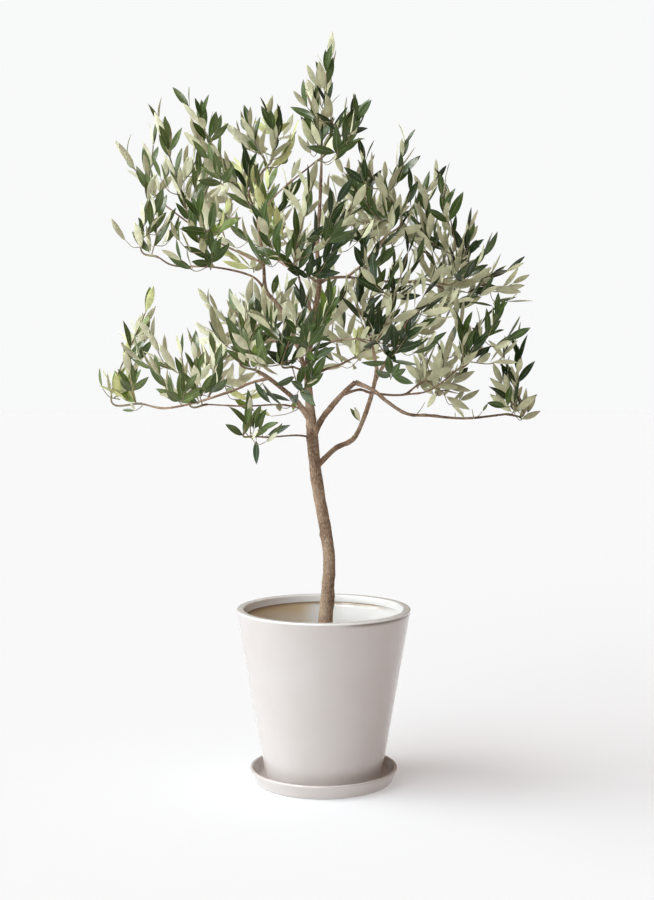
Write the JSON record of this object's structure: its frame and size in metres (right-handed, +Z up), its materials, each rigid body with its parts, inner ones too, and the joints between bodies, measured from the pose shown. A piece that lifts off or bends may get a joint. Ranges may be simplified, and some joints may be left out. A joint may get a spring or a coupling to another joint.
{
  "type": "potted olive tree",
  "caption": "Young olive tree in a tapered glazed ceramic pot on its saucer, an evergreen patio plant with a bare stem and an open leafy crown.",
  "frame": {"origin": "middle of the saucer's flat underside, on the ground", "axes": "+Z up, -Y towards the front, +X to the right seen from the front"},
  "size_m": [0.6397, 0.5957, 1.0697],
  "materials": {
    "glaze": "off-white glossy glaze",
    "soil": "dark crumbly potting soil",
    "bark": "grey-brown bark with fine relief",
    "leaves": "leathery leaves, glossy dark green above and silvery below"
  },
  "bodies": {
    "root": {"saucer": "glaze", "pot": "glaze", "soil": "soil", "trunk": "bark", "bough_back_high_left": "bark", "bough_back_high_right": "bark", "bough_back_low_left": "bark", "bough_back_low_right": "bark", "bough_front_high": "bark", "bough_front_low": "bark", "bough_front_right": "bark", "bough_high_left": "bark", "bough_high_left_arm": "bark", "bough_high_left_cross": "bark", "bough_high_left_reach": "bark", "bough_low_left": "bark", "bough_low_left_reach": "bark", "bough_low_left_twig": "bark", "bough_low_right": "bark", "bough_low_right_arm": "bark", "bough_low_right_reach": "bark", "bough_mid_right": "bark", "bough_mid_right_reach": "bark", "bough_mid_right_riser": "bark", "bough_right_reach": "bark", "bough_rising_right": "bark", "bough_rising_right_inner": "bark", "bough_rising_right_outer": "bark", "bough_under_left": "bark", "foliage_back_high_brush": "leaves", "foliage_back_high_left_brush": "leaves", "foliage_back_left_brush": "leaves", "foliage_back_right_brush": "leaves", "foliage_centre_brush": "leaves", "foliage_centre_high": "leaves", "foliage_centre_low": "leaves", "foliage_centre_right": "leaves", "foliage_far_left_high": "leaves", "foliage_front_low_brush": "leaves", "foliage_front_right_brush": "leaves", "foliage_high_left_brush": "leaves", "foliage_high_left_crest": "leaves", "foliage_left_arm_brush": "leaves", "foliage_left_arm_end": "leaves", "foliage_left_high_back": "leaves", "foliage_left_shoot": "leaves", "foliage_low_left_crest": "leaves", "foliage_low_left_end": "leaves", "foliage_low_left_hem": "leaves", "foliage_low_left_mid": "leaves", "foliage_low_right_end": "leaves", "foliage_right_crest": "leaves", "foliage_right_low": "leaves", "foliage_right_low_reach": "leaves", "foliage_right_mid_reach": "leaves", "foliage_right_shoulder": "leaves", "foliage_right_upper": "leaves", "foliage_top": "leaves", "foliage_under_left_end": "leaves", "foliage_upper_right_front": "leaves"}
  },
  "joints": []
}
